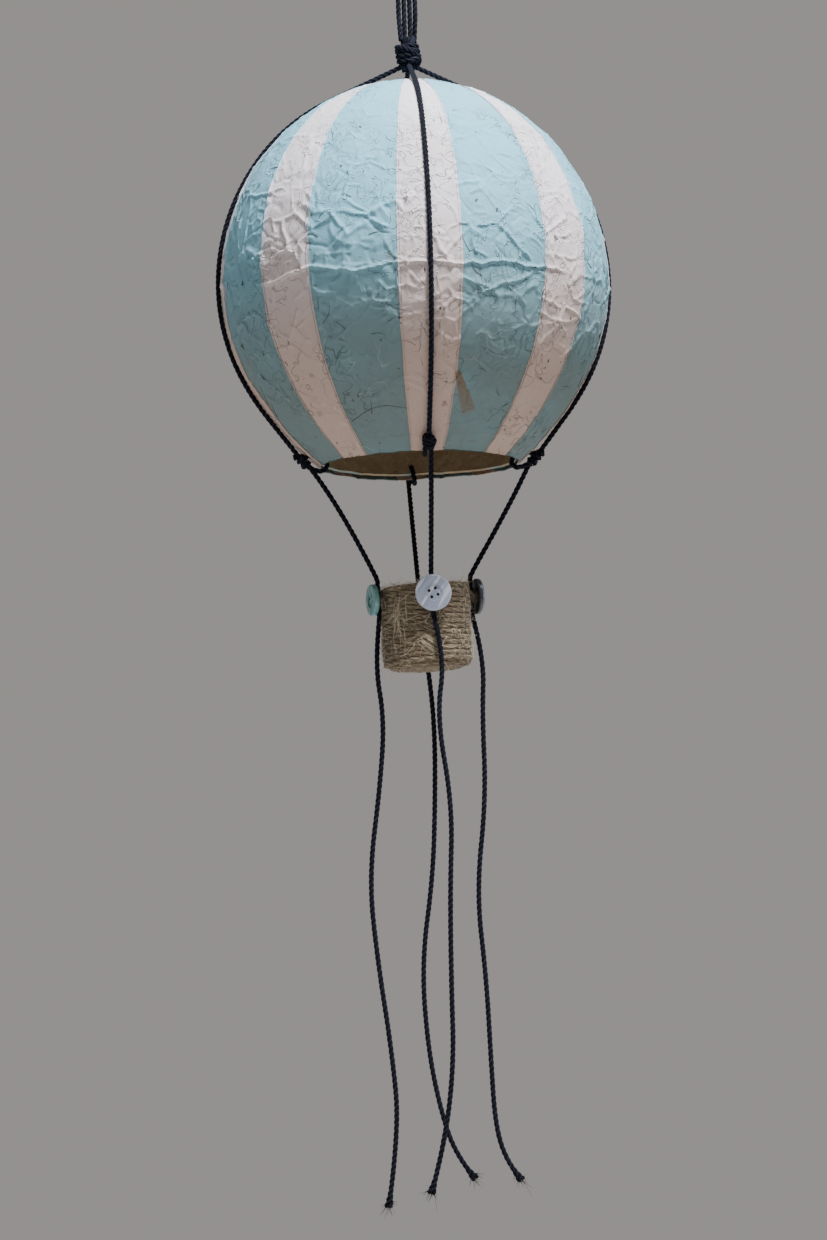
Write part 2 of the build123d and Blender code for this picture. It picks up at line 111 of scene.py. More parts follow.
# Free tails, from under each button to the cut end, counted from the tail's hinge
TAIL_ROUTE = {
    "front": [
        (0.0, 0.0, 0.0), (0.0055, -0.0013, -0.0236), (-0.0001, -0.0014, -0.0566), (0.0073, -0.0015, -0.1056),
        (0.0047, -0.0013, -0.1536), (0.0039, -0.0014, -0.2046), (0.0041, -0.0016, -0.2486),
        (-0.0023, -0.0009, -0.2926), (-0.0102, -0.0003, -0.3186),
    ],
    "right": [
        (0.0, 0.0, 0.0), (0.0056, 0.0, -0.0225), (0.0036, -0.0001, -0.0545), (0.0044, 0.0, -0.1015),
        (-0.0026, 0.0004, -0.1545), (0.0016, 0.0002, -0.2035), (0.0028, 0.0001, -0.2475),
        (0.0042, -0.0001, -0.2855), (0.0101, -0.0005, -0.3055), (0.0178, -0.0012, -0.3155),
    ],
    "back": [
        (0.0, 0.0, 0.0), (0.0036, 0.0007, -0.0235), (0.0064, 0.0009, -0.0585), (0.0054, 0.0006, -0.1015),
        (0.003, 0.0009, -0.1435), (-0.0048, 0.001, -0.1925), (-0.0026, 0.0009, -0.2405),
        (0.0038, 0.0004, -0.2765), (0.0118, 0.0, -0.3015), (0.0221, -0.0005, -0.3145),
    ],
    "left": [
        (0.0, 0.0, 0.0), (-0.0032, -0.0002, -0.0249), (0.0014, -0.0004, -0.0559), (-0.0019, -0.0001, -0.0929),
        (-0.0096, 0.0004, -0.1449), (-0.0059, 0.0003, -0.1909), (0.0006, -0.0003, -0.2409),
        (0.0038, -0.0006, -0.2849), (-0.0033, 0.0, -0.3269),
    ],
}

BASKET = Matrix.Translation(BASKET_CENTRE) @ Matrix.Rotation(radians(-BASKET_TILT), 4, "Y")


def around(angle, r, z, aside=0.0):
    """The point at this angle, radius and height, moved sideways by aside."""
    a = radians(angle)
    return Vector((r * sin(a) + aside * cos(a), -r * cos(a) + aside * sin(a), z))


def basket_point(angle, r, down, aside=0.0):
    """A point of the basket, by its angle, radius and depth under the basket's top."""
    return BASKET @ around(angle, r, BASKET_H / 2 - down, aside)


def button_axes(side):
    """The middle of a button's back, and the ways across, up and out of it."""
    facing = around(BUTTON_ANGLE[side] + BUTTON_TURN[side], 1.0, 0.0)
    up = (BASKET.to_3x3() @ Vector((0, 0, 1))).normalized()
    out = (BASKET.to_3x3() @ facing).normalized()
    return basket_point(BUTTON_ANGLE[side], BUTTON_BACK_R, BUTTON_DOWN), up.cross(out), up, out


# ---- the balloon's outline ----
def outline_arcs():
    """Each arc as its centre (r, z), radius, and the headings where it starts and ends."""
    arcs, r, z, heading = [], 0.0, POLE_Z, 0.0
    for radius, turn in OUTLINE:
        centre = (r - radius * sin(heading), z - radius * cos(heading))
        end = heading + radians(turn)
        arcs.append((centre, radius, heading, end))
        r, z = centre[0] + radius * sin(end), centre[1] + radius * cos(end)
        heading = end
    return arcs


ARCS = outline_arcs()
MOUTH_HEADING = ARCS[-1][3]
SKIRT_R = OUTLINE[-1][0]


def on_paper(heading, out=0.0):
    """The (r, z) of the outline at this heading, moved out by out."""
    for centre, radius, start, end in ARCS:
        if heading <= end:
            break
    return centre[0] + (radius + out) * sin(heading), centre[1] + (radius + out) * cos(heading)


def up_from_mouth(distance, out):
    """The (r, z) at a distance along the paper from the mouth's edge, and out from it."""
    return on_paper(MOUTH_HEADING - distance / SKIRT_R, out)


def heading_at(z):
    """The heading where the outline is at this height."""
    low, high = 0.0, MOUTH_HEADING
    for _ in range(30):
        middle = (low + high) / 2
        low, high = (middle, high) if on_paper(middle)[1] > z else (low, middle)
    return low


# ---- meshes ----
def quads(rows, cols, wrap_cols=False, first=0):
    """Faces between neighbouring rows of points."""
    r, c = np.meshgrid(np.arange(rows - 1), np.arange(cols if wrap_cols else cols - 1), indexing="ij")
    after = (c + 1) % cols
    corners = [r * cols + c, r * cols + after, (r + 1) * cols + after, (r + 1) * cols + c]
    return first + np.stack(corners, -1).reshape(-1, 4)


def placed(name, data):
    """A new object of the scene that holds this data."""
    made = bpy.data.objects.new(name, data)
    bpy.context.scene.collection.objects.link(made)
    return made


def finished(name, mesh, material):
    """The mesh as an object, smooth and with its material."""
    mesh.polygons.foreach_set("use_smooth", [True] * len(mesh.polygons))
    mesh.materials.append(material)
    return placed(name, mesh)


def piece(name, points, faces, material, grain=None):
    """A visible piece from points and faces, in the shared frame."""
    mesh = bpy.data.meshes.new(name)
    mesh.from_pydata(np.asarray(points, float).tolist(), [], [list(map(int, f)) for f in faces])
    if grain is not None:
        grain = np.asarray(grain, np.float32)
        mesh.attributes.new("grain", "FLOAT_VECTOR", "POINT").data.foreach_set("vector", grain[:, :3].ravel())
        mesh.attributes.new("crest", "FLOAT", "POINT").data.foreach_set("value", grain[:, 3].copy())
    made = finished(name, mesh, material)
    return made


def spline_points(route):
    """The line of a smooth spline that has these control points."""
    curve = bpy.data.curves.new("route", "CURVE")
    curve.dimensions = "3D"
    curve.resolution_u = 24
    spline = curve.splines.new("NURBS")
    spline.points.add(len(route) - 1)
    for point, at in zip(spline.points, route):
        point.co = (*at, 1.0)
    spline.order_u = 3
    spline.use_endpoint_u = True
    holder = placed("route", curve)
    bpy.context.view_layer.update()
    mesh = bpy.data.meshes.new_from_object(holder)
    line = np.array([v.co for v in mesh.vertices], float).reshape(-1, 3)
    bpy.data.objects.remove(holder)
    bpy.data.curves.remove(curve)
    bpy.data.meshes.remove(mesh)
    return line


def lengths_along(line):
    return np.r_[0.0, np.cumsum(np.linalg.norm(np.diff(line, axis=0), axis=1))]


def evenly(line, step):
    """The same line with its points a step apart."""
    line = np.asarray(line, float)
    along = lengths_along(line)
    at = np.linspace(0, along[-1], max(3, int(round(along[-1] / step)) + 1))
    return np.stack([np.interp(at, along, line[:, i]) for i in range(3)], 1)


def frames_along(line):
    """Tangents and two cross directions that turn as little as they can along a line."""
    tangent = np.gradient(line, axis=0)
    tangent /= np.linalg.norm(tangent, axis=1)[:, None]
    start = np.eye(3)[np.argmin(np.abs(tangent[0]))]
    side = np.empty_like(line)
    last = start
    for i, t in enumerate(tangent):
        last = last - t * (last @ t)
        last = last / np.linalg.norm(last)
        side[i] = last
    return tangent, side, np.cross(tangent, side)


def round_tube(line, radii, sides, first=0):
    """Rings round a line with closed ends, and the angle of each point."""
    _, a, b = frames_along(line)
    turn = np.linspace(0, 2 * pi, sides, endpoint=False)
    ring = np.cos(turn)[None, :, None] * a[:, None] + np.sin(turn)[None, :, None] * b[:, None]
    points = line[:, None] + np.broadcast_to(radii, (sides, len(line))).T[:, :, None] * ring
    faces = quads(len(line), sides, True, first)[:, ::-1].tolist()
    last = first + (len(line) - 1) * sides
    faces += [list(range(first, first + sides)), list(range(last + sides - 1, last - 1, -1))]
    return points.reshape(-1, 3), faces, turn


def laid(line, radius, plies=3, lay=LAY, sides=8, flare=None, rough=0.05, seed=0, ply_share=0.52):
    """Plies laid round each other left-handed along a line: points, faces and grain."""
    along = lengths_along(line)
    _, a, b = frames_along(line)
    wide = np.ones(len(line)) if flare is None else flare(along / along[-1])
    thick = ply_share * radius
    points, faces, grain = [], [], []
    for k in range(plies):
        turn = 2 * pi * k / plies + 2 * pi * along / lay
        out = (1 - ply_share) * radius * wide
        centre = line + (out * np.cos(turn))[:, None] * a + (out * np.sin(turn))[:, None] * b
        uneven = [1 + rough * noise.noise(Vector((s * PLY_LUMPS, 7.0 * k, seed))) for s in along]
        radii = thick * np.array(uneven) * np.sqrt(wide)
        ring, sheet, angle = round_tube(centre, radii, sides, k * len(line) * sides)
        points.append(ring)
        faces += sheet
        s, t = np.meshgrid(along, angle, indexing="ij")
        away = np.linalg.norm(ring.reshape(len(line), sides, 3) - line[:, None], axis=2)
        crest = away / (radius * wide[:, None])
        columns = [s / GRAIN_STRETCH + k + seed, thick * np.cos(t), thick * np.sin(t), crest]
        grain.append(np.stack(columns, -1).reshape(-1, 4))
    return np.concatenate(points), faces, np.concatenate(grain)


def joined(parts):
    """Several (points, faces, grain) as one."""
    points, faces, grain, first = [], [], [], 0
    for p, f, g in parts:
        points.append(p)
        grain.append(g)
        faces += [[i + first for i in face] for face in f]
        first += len(p)
    return np.concatenate(points), faces, np.concatenate(grain)


# ---- finishes ----
def tint(red, green, blue):
    """A colour from its display values out of 255."""
    shares = [v / 255 for v in (red, green, blue)]
    return (*[s / 12.92 if s <= 0.04045 else ((s + 0.055) / 1.055) ** 2.4 for s in shares], 1.0)


class Value:
    """A number that varies over a surface. Arithmetic on it adds Math nodes."""

    def __init__(self, paint, socket):
        self.paint, self.socket = paint, socket

    def maths(self, operation, *others):
        return self.paint.node("Math", {"operation": operation}, dict(enumerate((self, *others))))

    def __add__(self, other):
        return self.maths("ADD", other)

    def __sub__(self, other):
        return self.maths("SUBTRACT", other)

    def __mul__(self, other):
        return self.maths("MULTIPLY", other)

    def __truediv__(self, other):
        return self.maths("DIVIDE", other)

    def __abs__(self):
        return self.maths("ABSOLUTE")

    def over(self, low, high):
        """0 below low, 1 above high, and smooth between them; falling where high is under low."""
        inputs = {"Value": self, "From Min": low, "From Max": high}
        return self.paint.node("MapRange", {"interpolation_type": "SMOOTHSTEP"}, inputs)

    __radd__, __rmul__ = __add__, __mul__


class Paint:
    """A material whose shader is fed by expressions."""

    def __init__(self, name, **constants):
        self.material = bpy.data.materials.new(name)
        self.material.use_nodes = True
        self.tree = self.material.node_tree
        self.shader = self.tree.nodes["Principled BSDF"]
        for key, value in constants.items():
            self.shader.inputs[key.replace("_", " ")].default_value = value
        self.place = self.node("TexCoord", out="Object")

    def node(self, kind, settings=(), inputs=(), out=0):
        made = self.tree.nodes.new("ShaderNode" + kind)
        for key, value in dict(settings).items():
            setattr(made, key, value)
        for key, value in dict(inputs).items():
            if isinstance(value, Value):
                self.tree.links.new(value.socket, made.inputs[key])
            else:
                made.inputs[key].default_value = value
        return Value(self, made.outputs[out])

    def noise(self, scale, detail=3.0, rough=0.55, swirl=0.0, at=None):
        inputs = {"Vector": at or self.place, "Scale": scale, "Detail": detail}
        return self.node("TexNoise", inputs={**inputs, "Roughness": rough, "Distortion": swirl})

    def mix(self, share, first, second):
        """Colour first, with colour second over it by this share."""
        return self.node("Mix", {"data_type": "RGBA"}, {0: share, 6: first, 7: second}, 2)

    def vector(self, operation, *inputs):
        out = "Value" if operation in ("DOT_PRODUCT", "DISTANCE", "LENGTH") else 0
        return self.node("VectorMath", {"operation": operation}, dict(enumerate(inputs)), out)

    def strayed(self, scale, reach):
        """The place, moved by up to reach along each axis by noise of this scale."""
        wander = self.node("TexNoise", inputs={"Vector": self.place, "Scale": scale}, out="Color")
        return self.vector("ADD", self.place, self.vector("MULTIPLY", wander, (reach,) * 3))

    def bump(self, height, distance, strength=1.0, under=None):
        inputs = {"Height": height, "Distance": distance, "Strength": strength}
        if under:
            inputs["Normal"] = under
        return self.node("Bump", inputs=inputs)

    def feed(self, **values):
        for key, value in values.items():
            self.tree.links.new(value.socket, self.shader.inputs[key.replace("_", " ")])
        return self.material


# Bark flecks: scale, size, share left out, stretch of space, shade, strength
FLECKS = [
    (95.0, 0.085, 0.52, (1.0, 1.0, 0.45), tint(62, 52, 46), 0.9),
    (160.0, 0.10, 0.60, (0.55, 1.0, 1.0), tint(84, 74, 66), 0.8),
    (330.0, 0.15, 0.62, (1.0, 1.0, 0.6), tint(96, 90, 84), 0.6),
]
# Leaf scraps: angle, height, half width, half length, lean in degrees, shade, strength
SCRAPS = [
    (12.9, -0.2705, 0.0048, 0.0150, 24, tint(122, 96, 68), 0.85),
    (6.0, -0.2760, 0.0024, 0.0022, 8, tint(128, 92, 78), 0.7),
    (-11.4, -0.2000, 0.0034, 0.0034, 4, tint(112, 106, 104), 0.6),
    (40.2, -0.1860, 0.0030, 0.0017, 30, tint(78, 48, 26), 0.95),
]


def paper(name, lit_top, painted_shade, soil):
    """Handmade paper: cloudy pulp, fibres, flecks of bark and a few leaf scraps, with painted shade towards
    the bottom.
    """
    p = Paint(name, Specular_IOR_Level=0.32, Sheen_Weight=0.06)
    height = p.node("SeparateXYZ", inputs={0: p.place}, out="Z")
    cloud = p.noise(26, 4, 0.6)
    pulp = p.noise(420, 5, 0.7)
    # painted shade: the colour turns from the lit top colour to a darker shaded copy towards the bottom
    colour = p.mix(height.over(-0.15, -0.265), lit_top, painted_shade)
    colour = p.mix(cloud.over(0.42, 0.75) * 0.3, colour, soil)
    colour = p.mix(pulp.over(0.5, 0.8) * 0.3, colour, soil)
    pale = p.noise(48, 2, 0.5, 0.3)
    pale_line = abs(pale - 0.52).over(0.007, 0.0) * p.noise(33, 1).over(0.45, 0.6)
    colour = p.mix(pale_line * 0.2, colour, tint(240, 240, 236))
    winding = p.noise(38, 1, 0.4, 0.3)
    some = p.noise(60, 1, at=p.vector("ADD", p.place, (3, 1, 2)))
    hair = abs(winding - 0.5).over(0.003, 0.0006) * some.over(0.6, 0.64)
    colour = p.mix(hair * 0.65, colour, tint(98, 84, 72))
    bent = p.strayed(300.0, 0.004)
    for scale, reach, keep, stretch, shade, strength in FLECKS:
        inputs = {"Vector": p.vector("MULTIPLY", bent, stretch), "Scale": scale}
        near = p.node("TexVoronoi", inputs=inputs, out="Distance")
        chosen = p.node("SeparateColor", inputs={0: p.node("TexVoronoi", inputs=inputs, out="Color")}, out=0)
        fleck = near.over(reach, reach * 0.6) * chosen.over(keep, keep + 0.02)
        colour = p.mix(fleck * strength, colour, shade)
    smudge = p.noise(52, 3, 0.6, at=p.vector("ADD", p.place, (1, 5, 2))).over(0.66, 0.72)
    colour = p.mix(smudge * 0.35, colour, tint(122, 112, 104))
    for angle, z, wide, tall, lean, shade, strength in SCRAPS:
        heading = heading_at(z)
        a, lean = radians(angle), radians(lean)
        centre = around(angle, *on_paper(heading))
        right = Vector((cos(a), sin(a), 0))
        up = Vector((-cos(heading) * sin(a), cos(heading) * cos(a), sin(heading)))
        out = right.cross(up)
        across, upright = right * cos(lean) + up * sin(lean), up * cos(lean) - right * sin(lean)
        here = p.vector("SUBTRACT", p.strayed(240.0, 0.002), tuple(centre + Vector((0.001,) * 3)))
        u, v, w = (p.vector("DOT_PRODUCT", here, tuple(way)) for way in (across, upright, out))
        taper = 0.4 + 0.6 * v.over(tall, -tall)
        patch = (abs(u) / taper).over(wide, wide * 0.7) * abs(v).over(tall, tall * 0.8) * w.over(-0.03, -0.02)
        ragged = 0.6 + 0.4 * v.over(-tall, tall)
        colour = p.mix(patch * ragged * strength, colour, shade)
    ridges = p.noise(85, 2, 0.5, 1.0)
    fine = abs(ridges - 0.5).over(0.02, 0.0)
    pressed = p.noise(1500, 3, 0.7)
    normal = p.bump(fine * p.noise(24, 1).over(0.4, 0.6) + 0.7 * p.noise(130, 4, 0.65), 0.0008, 0.9)
    normal = p.bump(pressed + hair * 1.5, 0.0001, 0.7, normal)
    return p.feed(Base_Color=colour, Roughness=0.7 + 0.2 * pulp, Normal=normal)


def kraft():
    """The brown layer inside, with scraps of the outer paper folded over its edge, and a faint painted glow.
    """
    # painted light: the inside glows faintly in its own colour, standing in for light through the thin wall
    p = Paint("kraft_inside", Specular_IOR_Level=0.3, Emission_Strength=0.055)  # light through the thin wall
    fibre = p.noise(160, 5, 0.7, 0.6)
    colour = p.mix(fibre.over(0.3, 0.8), tint(158, 138, 110), tint(196, 177, 148))
    colour = p.mix(p.noise(700, 3, 0.7).over(0.6, 0.75) * 0.5, colour, tint(92, 76, 58))
    winding = p.noise(70, 2, 0.5, 2.0)
    colour = p.mix(abs(winding - 0.5).over(0.006, 0.001) * 0.6, colour, tint(70, 55, 40))
    height = p.node("SeparateXYZ", inputs={0: p.place}, out="Z")
    ragged = height + 0.004 * (p.noise(90, 2) - 0.5)
    some = p.noise(20, 1, at=p.vector("ADD", p.place, (2, 4, 1)))
    folded = ragged.over(-0.2950, -0.2958) * some.over(0.47, 0.5)
    colour = p.mix(folded, colour, tint(146, 160, 156))
    return p.feed(Base_Color=colour, Emission_Color=colour, Roughness=0.8 + 0.1 * fibre,
                  Normal=p.bump(fibre + 0.5 * p.noise(900, 3), 0.0004, 0.8))


def fibrous(name, dark, light, stray, along, deep, sheen, rough, painted_groove_shade=0.7, gloss=0.3, pit_shadow=None):
    """Spun fibres: drawn out along the grain of each ply, with painted shade in the grooves between plies."""
    p = Paint(name, Sheen_Weight=sheen, Sheen_Roughness=0.5, Specular_IOR_Level=gloss)
    grain = p.node("Attribute", {"attribute_name": "grain"}, out="Vector")
    crest = p.node("Attribute", {"attribute_name": "crest"}, out="Fac")
    strands = p.noise(along * 2.2, 4, 0.7, at=grain)
    broad = p.noise(along * 0.5, 3, 0.6, at=grain)
    colour = p.mix(strands.over(0.3, 0.72), dark, light)
    colour = p.mix(broad.over(0.55, 0.75) * 0.4, colour, dark)
    colour = p.mix(p.noise(along * 3.4, 2, 0.5, at=grain).over(0.66, 0.72) * 0.7, colour, stray)
    # painted shade: darker where a ply sinks into the groove between plies
    colour = p.mix(crest.over(0.97, 0.72) * painted_groove_shade, colour, p.mix(0.6, dark, (0.0, 0.0, 0.0, 1.0)))
    # painted shadow: a near-black spot where the winding has a pit
    if pit_shadow:
        near = p.vector("DISTANCE", p.place, tuple(pit_shadow))
        colour = p.mix(near.over(0.0021, 0.001) * 0.85, colour, tint(22, 18, 16))
    normal = p.bump(strands + 0.6 * broad, deep, 0.9)
    return p.feed(Base_Color=colour, Roughness=rough + 0.12 * broad, Normal=normal)


def button_finish(name, side, dark, light, streak, back, lean, bands, swirl):
    """Cast and polished button stock: streaks drawn across the face, another shade behind it, painted shade
    in the shallow ring and a painted highlight round the face's edge.
    """
    p = Paint(name, Specular_IOR_Level=0.5, Coat_Roughness=0.12)
    middle, across, up, out = button_axes(side)
    here = p.vector("SUBTRACT", p.place, tuple(middle))
    u, v, w = (p.vector("DOT_PRODUCT", here, tuple(way)) for way in (across, up, out))
    along, over = u * cos(lean) + v * sin(lean), v * cos(lean) - u * sin(lean)
    drawn = p.node("CombineXYZ", inputs={0: along * 0.09, 1: over, 2: w * 0.3}, out="Vector")
    veil = p.noise(bands, 4, 0.6, swirl, drawn)
    line = p.noise(bands * 2.2, 2, 0.5, swirl, drawn)
    colour = p.mix(veil.over(0.3, 0.7), dark, light)
    colour = p.mix(line.over(0.57, 0.64) * 0.85, colour, streak)
    radius = p.vector("LENGTH", p.node("CombineXYZ", inputs={0: u, 1: v}, out="Vector"))
    # painted shade: darker in the shallow ring on the face
    colour = p.mix(abs(radius - GROOVE_R).over(0.0009, 0.0002) * 0.35, colour, dark)
    edge = BUTTON_D[side] / 2
    # painted highlight: a lighter band round the edge of the face
    colour = p.mix(radius.over(edge - 0.0013, edge - 0.0004) * 0.4, colour, streak)
    if back:
        behind = p.mix(veil.over(0.35, 0.65), back, p.mix(0.25, back, light))
        colour = p.mix(w.over(0.0023, 0.0017), colour, behind)
    scuff = p.noise(500, 4, 0.7)
    return p.feed(Base_Color=colour, Roughness=0.2 + 0.25 * scuff, Coat_Weight=0.45 + 0.2 * veil,
                  Normal=p.bump(scuff, 0.00003, 0.5))


def board():
    p = Paint("basket_board", Specular_IOR_Level=0.3)
    fibre = p.noise(300, 5, 0.7)
    colour = p.mix(fibre.over(0.3, 0.75), tint(132, 108, 78), tint(168, 143, 110))
    colour = p.mix(p.noise(900, 3, 0.6).over(0.6, 0.72) * 0.5, colour, tint(92, 72, 52))
    return p.feed(Base_Color=colour, Roughness=0.8 + 0.1 * fibre, Normal=p.bump(fibre, 0.0002, 0.7))


def shade_toned_glue():
    p = Paint("shade_toned_glue", Specular_IOR_Level=0.5, Coat_Roughness=0.2)
    # painted shade: the real lump of glue under each button takes the dark tones of the jute in shade
    clot = p.noise(260, 3, 0.6, 0.5)
    colour = p.mix(clot.over(0.35, 0.7), tint(72, 62, 46), tint(112, 100, 78))
    return p.feed(Base_Color=colour, Roughness=0.25 + 0.3 * clot, Coat_Weight=0.3 + 0.2 * clot,
                  Normal=p.bump(clot, 0.0003, 0.6))


# each paper's lit colour at the top, its painted shade lower down, and a darker tone for its cloudy patches
white_paper = paper("white_paper", tint(238, 230, 236), tint(194, 168, 156), tint(194, 180, 176))
turquoise_paper = paper("turquoise_paper", tint(141, 203, 224), tint(112, 129, 130), tint(120, 162, 174))
kraft_inside = kraft()
navy_cord = fibrous("navy_cord", tint(8, 9, 17), tint(34, 37, 56), tint(76, 80, 102),
                    along=700.0, deep=0.00012, sheen=0.03, rough=0.72, painted_groove_shade=0.95, gloss=0.12)
jute_fibre = fibrous("jute_fibre", tint(86, 71, 53), tint(160, 142, 117), tint(212, 200, 174),
                     along=520.0, deep=0.00028, sheen=0.15, rough=0.8, painted_groove_shade=0.55,
                     pit_shadow=basket_point(57, BASKET_R, 0.0245))
pale_fibre = fibrous("pale_jute", tint(190, 174, 146), tint(226, 215, 190), tint(238, 230, 210),
                     along=520.0, deep=0.0001, sheen=0.2, rough=0.7)
hair_fibre = fibrous("paper_hair", tint(58, 50, 42), tint(92, 82, 68), tint(110, 98, 82),
                     along=520.0, deep=0.0001, sheen=0.0, rough=0.7)


# ---- camera ----
CAMERA_AT = (-0.1610, -1.9333, -0.5855)
HEADING, TILT, ROLL = radians(4.59), radians(5.85), radians(1.57)
ahead = Vector((sin(HEADING) * cos(TILT), cos(HEADING) * cos(TILT), sin(TILT)))
level = Vector((cos(HEADING), -sin(HEADING), 0))
upward = level.cross(ahead)
camera_right = level * cos(ROLL) - upward * sin(ROLL)
camera_up = upward * cos(ROLL) + level * sin(ROLL)
camera = placed("camera", bpy.data.cameras.new("camera"))
camera.data.lens = 100
camera.data.sensor_width = 36
camera.data.clip_start = 0.05
aimed = Matrix((camera_right, camera_up, -ahead)).transposed().to_4x4()
camera.matrix_world = Matrix.Translation(CAMERA_AT) @ aimed
bpy.context.scene.camera = camera


# ---- cords ----
def hairs(name, strands, radius, material):
    """Fine loose fibres, each along its own few points."""
    parts = []
    for i, strand in enumerate(strands):
        line = np.asarray(strand, float)
        thin = radius * np.linspace(1.0, 0.35, len(line))
        points, faces, angle = round_tube(line, thin, 3)
        along = lengths_along(line)
        s, t = np.meshgrid(along, angle, indexing="ij")
        columns = [s / GRAIN_STRETCH + i * 0.37, radius * np.cos(t), radius * np.sin(t), np.ones_like(s)]
        grain = np.stack(columns, -1)
        parts.append((points, faces, grain.reshape(-1, 4)))
    points, faces, grain = joined(parts)
    return piece(name, points, faces, material, grain)


def rope(name, line, **how):
    """A twisted cord along a line."""
    points, faces, grain = laid(line, CORD_R, **how)
    return piece(name, points, faces, navy_cord, grain)


def tied(name, parts, node):
    """A knot on the balloon from its lengths of cord, in place of its node."""
    points, faces, grain = joined(parts)
    knot = piece(name, points, faces, navy_cord, grain)
    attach(knot, "balloon")
    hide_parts(node)


def wound(turns, density, reach, first, last, start, slant=0.0, swell=0.0, lag=0.0):
    """A winding round its own axis, from first to last along it: slanting, and wider halfway by swell."""
    stops = []
    for t in np.linspace(0, 1, int(density * turns)):
        angle = start + 2 * pi * turns * t
        r = reach + swell * sin(pi * t)
        stops.append((r * cos(angle), r * sin(angle), first + (last - first) * t + slant * cos(angle - lag)))
    return stops


def frayed(share):
    """A cut end's spread: even until the last few millimetres."""
    return 1 + 1.1 * np.clip((share - 0.972) / 0.028, 0, 1) ** 1.5


def tail_hinge(side):
    """Where a tail leaves its button: the centre of its swing."""
    down = BUTTON_DOWN + BUTTON_D[side] / 2 + 0.0009 + CORD_R
    return basket_point(BUTTON_ANGLE[side], BASKET_R + 0.0004 + CORD_R, down)


def hang_tail(side):
    """A free tail and the fine fibres at its cut end."""
    hinge = tail_hinge(side)
    line = evenly(spline_points([hinge + Vector(step) for step in TAIL_ROUTE[side]]), CORD_STEP)
    cord = rope(f"tail_cord_{side}", line, flare=frayed, seed=len(side))
    tip, way = line[-1], line[-1] - line[-6]
    way = way / np.linalg.norm(way)
    rng = np.random.default_rng(len(side) + 40)
    strands = []
    for _ in range(34):
        spread = rng.normal(0, 0.55, 3)
        out = way + spread * 0.9
        root = tip - way * rng.uniform(0.001, 0.004) + spread * 0.0011
        reach = rng.uniform(0.0025, 0.0055)
        curl = rng.normal(0, 0.3, 3)
        strands.append([root + out * reach * t + curl * reach * t * t for t in (0, 0.35, 0.7, 1.0)])
    fray = hairs(f"tail_fray_{side}", strands, 0.00011, navy_cord)
    for part in (cord, fray):
        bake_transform(part)
    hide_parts(f"tail_{side}")


def knot_end(side):
    """Where the stay leaves its rim knot."""
    r, z = up_from_mouth(HOLE_UP - RIM_KNOT_L / 2 + 0.0015, RIM_KNOT_OUT)
    return around(SIDES[side], r, z, CORD_D / 2)


def hang_stay(side):
    """From the rim knot down to the basket and on behind the button, to the tail's hinge."""
    start = knot_end(side)
    end = basket_point(BUTTON_ANGLE[side], PRESSED_R, -PRESSED_ABOVE - STAY_GAP)
    route = [start]
    for share in (0.2, 0.58):
        at = start + (end - start) * share
        route.append(at + Vector((at.x, at.y, 0)).normalized() * STAY_BOW[side])
    low = BUTTON_DOWN + BUTTON_D[side] / 2 + 0.0006
    route.append(end)
    for down in (-PRESSED_ABOVE + 0.001, low - 0.004):
        route.append(basket_point(BUTTON_ANGLE[side], PRESSED_R, down))
    route.append(tail_hinge(side) - Vector((0, 0, 0.0004)))
    line = evenly(spline_points(route), CORD_STEP)
    cord = rope(f"stay_cord_{side}", line, seed=len(side) + 10)
    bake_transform(cord)
    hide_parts(f"stay_{side}", f"pressed_cord_{side}")


def lay_leg(side):
    """From the crown knot's foot over the paper to the rim knot."""
    out = CORD_R + CORD_AIR
    centre, radius, _, _ = ARCS[0]
    exit_r, exit_z = KNOT_FOOT_R - 0.001, KNOT_TOP_Z - KNOT_H + 0.002
    dr, dz = exit_r - centre[0], exit_z - centre[1]
    touch = atan2(dr, dz) + acos((radius + out) / hypot(dr, dz))
    knot_start = MOUTH_HEADING - (HOLE_UP + RIM_KNOT_L / 2) / SKIRT_R
    leave = knot_start - acos((SKIRT_R + out) / (SKIRT_R + LEG_LIFT))
    last = on_paper(leave, out)
    run = SKIRT_R * (knot_start - leave) + 0.004
    stops = [(exit_r, exit_z)]
    stops += [on_paper(h, out) for h in np.linspace(touch, leave, 160)]
    stops.append((last[0] + run * cos(leave), last[1] - run * sin(leave)))
    line = evenly([around(SIDES[side], r, z) for r, z in stops], CORD_STEP)
    cord = rope(f"leg_cord_{side}", line, seed=len(side) + 20)
    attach(cord, "balloon")
    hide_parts(f"leg_{side}")


